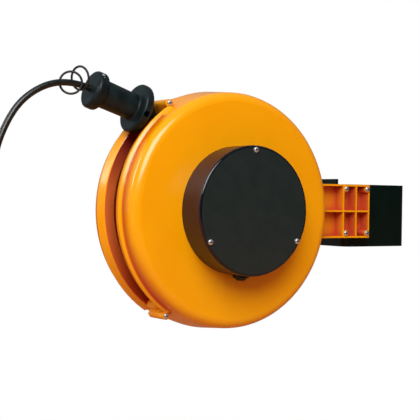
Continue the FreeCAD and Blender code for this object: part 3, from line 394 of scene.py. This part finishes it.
# %% Black nylon, satin mould
def black_nylon(name="black_nylon", dark="#0A1618", pale="#122124", rough=(0.34, 0.46), ior=1.31):
    """A clouded dark plastic with a fine grain; the paler plastics of the inside use it too."""
    material, tree, shader = new_material(name)
    cloud = noise(tree, 14 * MM, detail=4.0)
    tree.links.new(ramp(tree, cloud, dark, pale), shader.inputs["Base Color"])
    grain = noise(tree, 0.9 * MM, detail=3.0)
    tree.links.new(between(tree, cloud, *rough), shader.inputs["Roughness"])
    tree.links.new(bump(tree, grain, 0.05 * MM, strength=0.5), shader.inputs["Normal"])
    shader.inputs["IOR"].default_value = ior
    return material


# %% [markdown]
# ## Glossy black ABS
# The round cover is black ABS from a polished mould. Its rounded edge draws a thin
# bright line; painted shade makes the edge blacker than the front. Its side is never
# quite black: the orange wall that it stands on shines back into it, and a deep plum
# tint outside the front face's radius is that painted reflection, with a duller finish.


# %% Black ABS, polished mould
COVER_EDGE = (77.5 * MM, 78.5 * MM)
COVER_SIDE = (79.8 * MM, 80.8 * MM)
FACE_ROUGHNESS = 0.17
EDGE_ROUGHNESS = 0.04
SIDE_DULLER = 0.3


def gloss_abs():
    """A grey-black face, a smoother edge with painted shade, and a painted plum reflection on the side, by
    the radius from the axis.
    """
    material, tree, shader = new_material("black_abs_gloss")
    face = ramp(tree, noise(tree, 18 * MM, detail=3.0), "#1E2A2A", "#222D2D")
    radius = round_hub(tree)[0]
    side = rise(tree, radius, COVER_SIDE)
    # Painted shade: the edge's base is blacker than the face; painted reflection: the plum side stands for
    # the orange wall mirrored in it.
    front = blend(tree, rise(tree, radius, COVER_EDGE), face, "#05090A")
    tree.links.new(blend(tree, side, front, "#1E0420"), shader.inputs["Base Color"])
    smooth = between(tree, radius, FACE_ROUGHNESS, EDGE_ROUGHNESS, *COVER_EDGE)
    rough = add(tree, "ShaderNodeMath", {"operation": "MULTIPLY_ADD"}, {0: side, 2: smooth})
    rough.inputs[1].default_value = SIDE_DULLER
    tree.links.new(rough.outputs[0], shader.inputs["Roughness"])
    ripple = noise(tree, 5 * MM, detail=2.0)
    tree.links.new(bump(tree, ripple, 0.05 * MM, strength=0.4), shader.inputs["Normal"])
    shader.inputs["IOR"].default_value = 1.5
    return material


# %% [markdown]
# ## Powder coat on sheet steel
# The bracket is bent sheet, dusted with powder and baked. The powder flows into a
# pebbled skin, with pebbles about a millimetre across, and a semi-gloss.


# %% Black powder coat
def powder_coat():
    """A pebbled black skin, whose pebbles also change its roughness."""
    material, tree, shader = new_material("black_powder_coat")
    pebble = noise(tree, 1.6 * MM, detail=2.0)
    cloud = noise(tree, 25 * MM, detail=3.0)
    tree.links.new(ramp(tree, cloud, "#001310", "#001612"), shader.inputs["Base Color"])
    tree.links.new(between(tree, pebble, low=0.2, high=0.3), shader.inputs["Roughness"])
    tree.links.new(bump(tree, pebble, 0.05 * MM, strength=0.5), shader.inputs["Normal"])
    shader.inputs["IOR"].default_value = 1.35
    return material


# %% [markdown]
# ## Metals
# Screws and nuts are zinc plated: bright, a little blue, with patches where the bath
# took unevenly, and painted shade that darkens the slot of a head.
# Turned steel and brass are warmer or darker, with a fine grain from the tool.


# %% Zinc plate, turned steel, brass and bronze
SLOT_REACH = 1.5 * MM
SLOT_SHARES = (0.4, 0.85)
# Painted shade: the slot colour darkens a head's slot, where the piece closes in on itself.
SLOT_SHADE_COLOUR = "#2E2F30"


def metal(name, dark, pale, rough, grain_size, grain_depth):
    """A patchy bare metal with a fine grain, and painted shade where it is closed in."""
    material, tree, shader = new_material(name)
    patch = noise(tree, 3.0 * MM, detail=3.0)
    skin = ramp(tree, patch, dark, pale)
    slot_shaded = blend(tree, closed_in(tree, SLOT_REACH, SLOT_SHARES), skin, SLOT_SHADE_COLOUR)
    tree.links.new(slot_shaded, shader.inputs["Base Color"])
    tree.links.new(between(tree, patch, *rough), shader.inputs["Roughness"])
    grain = noise(tree, grain_size, detail=2.0)
    tree.links.new(bump(tree, grain, grain_depth, strength=0.5), shader.inputs["Normal"])
    shader.inputs["Metallic"].default_value = 1.0
    return material


# %% [markdown]
# ## Rubber sheath
# The cable's sheath is extruded chloroprene rubber: black with a dusty, slightly
# greenish bloom, and a soft highlight along its length rather than a sharp one.


# %% Rubber
def rubber(name, dark, pale, rough):
    """A dusty dark rubber with a bloom that changes colour and roughness together."""
    material, tree, shader = new_material(name)
    bloom = noise(tree, 7 * MM, detail=4.0)
    tree.links.new(ramp(tree, bloom, dark, pale), shader.inputs["Base Color"])
    tree.links.new(between(tree, bloom, *rough), shader.inputs["Roughness"])
    grain = noise(tree, 0.8 * MM, detail=2.0)
    tree.links.new(bump(tree, grain, 0.04 * MM, strength=0.5), shader.inputs["Normal"])
    shader.inputs["IOR"].default_value = 1.52
    return material


# %% Make the materials and dress the frame's own nodes
FINISH = {
    "housing": orange_abs(),
    "coated_steel": powder_coat(),
    "black_plastic": black_nylon(),
    "black_gloss": gloss_abs(),
    "pale_plastic": black_nylon("natural_polyamide", "#CFC9B8", "#DDD8CA", (0.4, 0.5)),
    "drum_plastic": black_nylon("drum_polypropylene", "#1C1D1F", "#26282A", (0.42, 0.55)),
    "black_rubber": rubber("moulded_rubber", "#0B0C0C", "#151717", (0.5, 0.62)),
    "cable_rubber": rubber("chloroprene_sheath", "#0A0F0F", "#121817", (0.27, 0.38)),
    "zinc": metal("zinc_plate", "#CDD8DF", "#E8F0F6", (0.38, 0.5), 0.5 * MM, 0.02 * MM),
    "steel": metal("turned_steel", "#85888C", "#A4A7AA", (0.25, 0.38), 0.4 * MM, 0.02 * MM),
    "carbon": rubber("pressed_carbon", "#141415", "#222224", (0.4, 0.5)),
    "bronze": metal("sintered_bronze", "#8F6B3F", "#B58A55", (0.4, 0.52), 0.3 * MM, 0.03 * MM),
    "brass": metal("turned_brass", "#B8924A", "#D9B56C", (0.2, 0.3), 0.4 * MM, 0.02 * MM),
}
slots = {part["node"]: part["material_slot"] for part in frame["record"]["subparts"]}
finer = {"slip_ring_cover": "black_gloss"}
for name, node in nodes.items():
    node.data.materials.clear()
    node.data.materials.append(FINISH[finer.get(name, slots[name])])
print("dressed", len(nodes), "nodes with", len(FINISH), "finishes")


# %% [markdown]
# ## Surfaces from arrays
# A cable is a circle carried along a path, and a ring is one carried round a larger
# circle. Both are grids of points, worked out as whole arrays and handed to the mesh
# in one go, with no loop over vertices.


# %% Grid and tube
def grid_mesh(name, points, close_rows=False, close_columns=False, caps=False):
    """A quad mesh from rows x columns x 3 points.

    Either way may close on itself, and flat caps may end a tube.
    """
    rows, columns = points.shape[:2]
    index = np.arange(rows * columns).reshape(rows, columns)
    if close_rows:
        index = np.vstack([index, index[:1]])
    if close_columns:
        index = np.hstack([index, index[:, :1]])
    quads = np.stack([index[:-1, :-1], index[:-1, 1:], index[1:, 1:], index[1:, :-1]], axis=-1)
    faces = quads.reshape(-1, 4).tolist()
    ends = [index[0, :columns][::-1].tolist(), index[-1, :columns].tolist()] if caps else []
    mesh = bpy.data.meshes.new(name)
    mesh.from_pydata(points.reshape(-1, 3).tolist(), [], faces + ends)
    mesh.polygons.foreach_set("use_smooth", np.arange(len(mesh.polygons)) < len(faces))
    return mesh


def add_piece(name, mesh, body, slot, replaced=()):
    """Links a piece, gives it its finish, and lets it ride on its body."""
    piece = bpy.data.objects.new(name, mesh)
    bpy.context.scene.collection.objects.link(piece)
    mesh.materials.append(FINISH[slot])
    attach(piece, body)
    if replaced:
        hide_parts(*replaced)
    count = len(mesh.vertices) if hasattr(mesh, "vertices") else len(mesh.splines[0].points)
    print(name, "has", count, "points")
    return piece


def normals_along(path):
    """Two unit normals at each point of a path; the first is also square to the drum's axis."""
    tangent = np.gradient(path, axis=0)
    tangent /= np.linalg.norm(tangent, axis=1, keepdims=True)
    side = np.cross(tangent, np.array([0.0, 1.0, 0.0]))
    side /= np.linalg.norm(side, axis=1, keepdims=True)
    return side, np.cross(tangent, side)


def tube_points(path, radius, around):
    """Circles of a radius set square to the path: centre + r (cos a side + sin a other)."""
    angle = np.linspace(0, 2 * np.pi, around, endpoint=False)[None, :, None]
    side, other = normals_along(path)
    return path[:, None] + (np.cos(angle) * side[:, None] + np.sin(angle) * other[:, None]) * radius


def cable_piece(name, path, around, body, replaced):
    """A length of cable along a path, with closed ends."""
    mesh = grid_mesh(name, tube_points(path, CABLE_R, around), close_columns=True, caps=True)
    return add_piece(name, mesh, body, "cable_rubber", [replaced])


# %% [markdown]
# ## The cable's tail
# The tail leaves the stop along the pull line, arches over under its own stiffness
# and hangs to its coupling socket. A NURBS curve of order 3, guided by a few chosen
# points in millimetres from the hub, gives such a line: it leaves the first point
# straight and bends smoothly.

# %% Tail of cable
TAIL_STRAIGHT = 18.7 * MM
TAIL_FROM_HUB = (
    (-233.0, 0.0, 149.8),
    (-265.7, 0.0, 131.2),
    (-286.5, 0.0, 104.2),
    (-303.0, -1.0, 64.5),
    (-308.0, -2.0, 12.0),
    (-312.5, -2.0, -58.0),
    (-313.0, -1.0, -138.0),
    (-311.5, 0.0, -216.0),
    (-311.5, 0.0, -285.0),
    (-312.0, 0.0, -330.0),
)
tail_start = on_exit(STOP_END)
tail_points = np.vstack([tail_start, on_exit(STOP_END + TAIL_STRAIGHT), from_hub(TAIL_FROM_HUB)])


def smooth_cable(name, points, radius):
    """A round NURBS cable of order 3 whose control points are the route's points."""
    curve = bpy.data.curves.new(name, "CURVE")
    curve.dimensions = "3D"
    spline = curve.splines.new("NURBS")
    spline.points.add(len(points) - 1)
    spline.points.foreach_set("co", np.hstack([points, np.ones((len(points), 1))]).ravel())
    spline.order_u = 3
    spline.use_endpoint_u = True
    curve.resolution_u = 16
    curve.bevel_depth = radius
    curve.bevel_resolution = 6
    curve.use_fill_caps = True
    return curve


tail_curve = smooth_cable("tail_cord", tail_points, CABLE_R)
tail = add_piece("tail_cord", tail_curve, "cable", "cable_rubber", ["tail_cable"])
print("tail starts at", np.round(tail_start, 4))

# %% [markdown]
# ## The winding
# Inside the mouth one sees the cable lying turn beside turn on the drum. The top
# layer is a helix whose pitch is a little over the cable's thickness; under it a
# second layer fills the valleys. The lead runs on from the drum, straight and taut,
# to the far end of the stop.


# %% Wound cable
STEPS_PER_TURN = 96


def helix(radius, pitch, start_y, turns, start_angle):
    """Points on a coil about the drum's axis: angle falls steadily and depth grows with it."""
    t = np.linspace(0, turns, int(STEPS_PER_TURN * turns) + 1)
    angle = start_angle - 2 * np.pi * t
    return HUB + np.stack([radius * np.cos(angle), start_y + pitch * t, radius * np.sin(angle)], axis=1)


def straight_out(start, end, count):
    """Points on the exit line between two distances from where the cable leaves the drum."""
    return EXIT_FOOT + np.linspace(start, end, count)[:, None] * EXIT_WAY


TOP_PITCH = 8.5 * MM
TOP_TURNS = 2.0
LEAD_START = 12.8 * MM
STUB_START = 1.0 * MM
top_layer = helix(EXIT_RADIUS, TOP_PITCH, 0.0, TOP_TURNS, EXIT_ANGLE - math.pi / 2)
lead_stub = straight_out(LEAD_START, STUB_START, 12)
cable_piece("wound_cable", np.vstack([lead_stub, top_layer]), 14, "drum", "outer_winding")

LAYER_GAP = 0.3 * MM
UNDER_RADIUS = EXIT_RADIUS - 2 * CABLE_R - LAYER_GAP
UNDER_PITCH = 8.3 * MM
UNDER_START = -17.6 * MM
UNDER_TURNS = 4.2
under_path = helix(UNDER_RADIUS, UNDER_PITCH, UNDER_START, UNDER_TURNS, start_angle=0.0)
cable_piece("under_layer", under_path, 12, "drum", "winding_core")

# %% Straight lead from the drum through the stop
cable_piece("lead_cord", straight_out(LEAD_START, STOP_END, 40), 20, "cable", "lead_out_cable")

# %% [markdown]
# ## The two tie rings
# Two rings of thin moulded cord hang on the cable just outside the stop. A ring is a
# torus: a small circle carried round a larger one that is tilted to face its axis.
# Each row gives a ring's middle from the hub, its axis and its radius, in millimetres.


# %% Tie rings
def torus_points(centre, axis, radius, thickness, around=72, across=12):
    """A torus: centre + (R + r cos b)(cos a u + sin a v) + r sin b w, with u, v, w square to each other."""
    w = np.asarray(axis, float) / np.linalg.norm(axis)
    u = np.cross(w, (0.0, 0.0, 1.0))
    u /= np.linalg.norm(u)
    v = np.cross(w, u)
    a = np.linspace(0, 2 * np.pi, around, endpoint=False)[:, None, None]
    b = np.linspace(0, 2 * np.pi, across, endpoint=False)[None, :, None]
    out = radius + thickness * np.cos(b)
    return centre + out * (np.cos(a) * u + np.sin(a) * v) + thickness * np.sin(b) * w


TIE_R = 1.4 * MM
TIE_RINGS = (
    ((-206.4, 0.0, 151.0), (0.42, 0.91, 0.0), 13.3),
    ((-194.4, -0.6, 157.2), (0.93, 0.33, 0.1), 14.0),
)
for number, (centre, axis, radius) in enumerate(TIE_RINGS, 1):
    loop = torus_points(from_hub(centre), axis, radius * MM, TIE_R)
    loop_mesh = grid_mesh(f"tie_ring_{number}", loop, close_rows=True, close_columns=True)
    add_piece(f"tie_ring_{number}", loop_mesh, "cable", "black_rubber", ["tie_rings"])

# %% [markdown]
# ## The rounded end of the mouth
# Just above the lower lug the mould closes the mouth with a rounded nose, so that the
# cable never rubs on a sharp edge. A superellipsoid gives such a form: a ball whose
# sections are drawn out towards a rounded box, half sunk in the end wall.


# %% Nose at the mouth's lower end
def superellipsoid(centre, axes, halves, power, rows=24, columns=48):
    """A ball drawn out towards a rounded box.

    Centre + a c(v) c(u) x + b c(v) s(u) y + h s(v) z; c and s are cosine and sine to a signed power.
    """
    v = np.linspace(-np.pi / 2, np.pi / 2, rows)[:, None, None]
    u = np.linspace(0, 2 * np.pi, columns, endpoint=False)[None, :, None]

    def signed(value):
        return np.sign(value) * np.abs(value) ** power

    long_way = halves[0] * signed(np.cos(u)) * axes[0]
    short_way = halves[1] * signed(np.sin(u)) * axes[1]
    return centre + signed(np.cos(v)) * (long_way + short_way) + halves[2] * signed(np.sin(v)) * axes[2]


NOSE_ANGLE = math.radians(234.6)
NOSE_RADIUS = 146.5 * MM
NOSE_HALVES = (14.5 * MM, 7.0 * MM, 7.5 * MM)
NOSE_POWER = 0.8
MERGE_DISTANCE = 1e-6
nose_out = np.array([math.cos(NOSE_ANGLE), 0.0, math.sin(NOSE_ANGLE)])
nose_along = np.array([math.sin(NOSE_ANGLE), 0.0, -math.cos(NOSE_ANGLE)])
nose_axes = (np.array([0.0, 1.0, 0.0]), nose_along, nose_out)
nose_points = superellipsoid(HUB + NOSE_RADIUS * nose_out, nose_axes, NOSE_HALVES, NOSE_POWER)
nose_mesh = grid_mesh("mouth_nose", nose_points, close_columns=True)
made = bmesh.new()
made.from_mesh(nose_mesh)
bmesh.ops.remove_doubles(made, verts=made.verts, dist=MERGE_DISTANCE)
bmesh.ops.recalc_face_normals(made, faces=made.faces)
made.to_mesh(nose_mesh)
made.free()
add_piece("mouth_nose", nose_mesh, "frame", "housing")

# %% [markdown]
# ## Floor, backdrop and light
# The reel is shown against plain white. To a camera ray the floor is a mix of white
# and its own shaded surface: mostly white far away, so that it runs into the
# background with no horizon, and more shaded near the reel, where the shadow lies.
# The reel itself meets a warmer, dimmer floor, in its mirror and in its fill.


# %% White floor that keeps a shadow
FLOOR_DROP = 20 * MM
FLOOR_HALF = 8.0
FLOOR_SIGNS = ((-1, -1), (1, -1), (1, 1), (-1, 1))
FLOOR_ROUGHNESS = 0.9
NEAR_SHARE = 0.75
WHITE_NEAR = 0.3
WHITE_FAR = 0.95
MIRROR_SHARE = 0.06
floor_z = cad_box[0][2] - FLOOR_DROP


def white_ground(name):
    """White to the camera by a share that grows with distance from the reel; matt to the rest."""
    material, tree, shader = new_material(name)
    shader.inputs["Roughness"].default_value = FLOOR_ROUGHNESS
    rays = add(tree, "ShaderNodeLightPath").outputs
    tone = blend(tree, rays["Is Camera Ray"], "#B88A62", "#F0F0EE")
    tree.links.new(tone, shader.inputs["Base Color"])
    away = with_fixed(tree, "DISTANCE", place(tree), (HUB[0], HUB[1], floor_z))["Value"]
    share = between(tree, away, NEAR_SHARE, 1.0, WHITE_NEAR, WHITE_FAR)
    straight = calc(tree, "MAXIMUM", rays["Is Camera Ray"], rays["Is Transmission Ray"])
    mirrored = between(tree, rays["Is Glossy Ray"], 0.0, MIRROR_SHARE)
    seen = product(tree, calc(tree, "MAXIMUM", straight, mirrored), share)
    glow = add(tree, "ShaderNodeEmission", {"Color": (1, 1, 1, 1), "Strength": 1.0}).outputs[0]
    mix = add(tree, "ShaderNodeMixShader", None, {0: seen, 1: shader.outputs["BSDF"], 2: glow})
    output = next(n for n in tree.nodes if n.type == "OUTPUT_MATERIAL")
    tree.links.new(mix.outputs[0], output.inputs["Surface"])
    return material


corners = [(x * FLOOR_HALF, y * FLOOR_HALF, floor_z) for x, y in FLOOR_SIGNS]
floor_mesh = bpy.data.meshes.new("floor")
floor_mesh.from_pydata(corners, [], [(0, 1, 2, 3)])
floor_mesh.materials.append(white_ground("studio_floor"))
floor = bpy.data.objects.new("floor", floor_mesh)
bpy.context.scene.collection.objects.link(floor)
print("floor at", round(floor_z, 4))

# %% [markdown]
# ## Soft boxes
# A large box in front, above and to the left models the housing. A narrow one behind
# the reel and to the left draws the crisp line on the shoulder, because a surface
# seen at a grazing angle mirrors what is behind it. A weak warm one low on the left
# looks into the mouth. Their power in watts is what lights the subject:
# E = P / (pi d^2), so distance and power are chosen together. The large box alone
# gives a little over pi, which shows a matt white surface as white.


# %% Lamps
def soft_box(name, toward, distance, size, power, colour="#FFFFFF"):
    """A rectangular area light in a direction from the hub, turned to face it."""
    data = bpy.data.lights.new(name, "AREA")
    data.shape = "RECTANGLE"
    data.size, data.size_y = size
    data.energy = power
    data.color = linear(colour)[:3]
    light = bpy.data.objects.new(name, data)
    way = Vector(toward).normalized()
    light.location = Vector(HUB) + way * distance
    light.rotation_mode = "QUATERNION"
    light.rotation_quaternion = way.to_track_quat("Z", "Y")
    bpy.context.scene.collection.objects.link(light)
    print(name, "gives", power, "W from", distance, "m")


soft_box("key_box", (-0.45, -0.67, 0.59), 2.2, (1.4, 1.4), power=51.0)
soft_box("shoulder_strip", (-0.79, 0.37, 0.487), 1.8, (0.2, 0.8), power=7.0)
soft_box("left_box", (-0.93, -0.1, -0.35), 2.2, (1.4, 1.4), power=6.0, colour="#FFD9B0")

# %% [markdown]
# ## The room
# The room gives the light between the boxes. It is brighter above and behind, where
# the white backdrop is, and dim on the camera's side, so that black gloss stays
# black. Matt surfaces get a little warm fill from all round, as from a lit floor.
# A camera ray sees plain white, and a mirror ray sees the backdrop too.

# %% World
ROOM_HIGH = 0.4
ROOM_LOW = 0.05
ROOM_TOWARD = (-0.4, 0.5, 0.77)
ROOM_SPAN = (-0.5, 0.9)
BACKDROP = 0.15
BACKDROP_SPAN = (0.0, 0.8)
FILL = 0.17
world = bpy.data.worlds.new("studio")
bpy.context.scene.world = world
world.use_nodes = True
sky = world.node_tree
sky.nodes.clear()
rays = add(sky, "ShaderNodeLightPath").outputs
heading = add(sky, "ShaderNodeTexCoord").outputs["Generated"]
lift = with_fixed(sky, "DOT_PRODUCT", heading, Vector(ROOM_TOWARD).normalized())["Value"]
dim = between(sky, lift, ROOM_LOW, ROOM_HIGH, *ROOM_SPAN)
behind = add(sky, "ShaderNodeSeparateXYZ", None, {0: heading}).outputs["Y"]
backdrop = between(sky, behind, 0.0, BACKDROP, *BACKDROP_SPAN)
mirrored = product(sky, rays["Is Glossy Ray"], backdrop)
room = calc(sky, "ADD", dim, between(sky, rays["Is Glossy Ray"], FILL, 0.0))
tone = blend(sky, rays["Is Glossy Ray"], "#FFA672", "#E4F4FF")
strength = calc(sky, "MAXIMUM", room, mirrored)
lit = add(sky, "ShaderNodeBackground", None, {"Color": tone, "Strength": strength})
white = add(sky, "ShaderNodeBackground", {"Color": (1, 1, 1, 1), "Strength": 1.0})
direct = calc(sky, "MAXIMUM", rays["Is Camera Ray"], rays["Is Transmission Ray"])
chosen = add(sky, "ShaderNodeMixShader", None, {0: direct, 1: lit.outputs[0], 2: white.outputs[0]})
add(sky, "ShaderNodeOutputWorld", None, {"Surface": chosen.outputs[0]})
print("room from", ROOM_LOW, "to", ROOM_HIGH, "with a fill of", FILL)
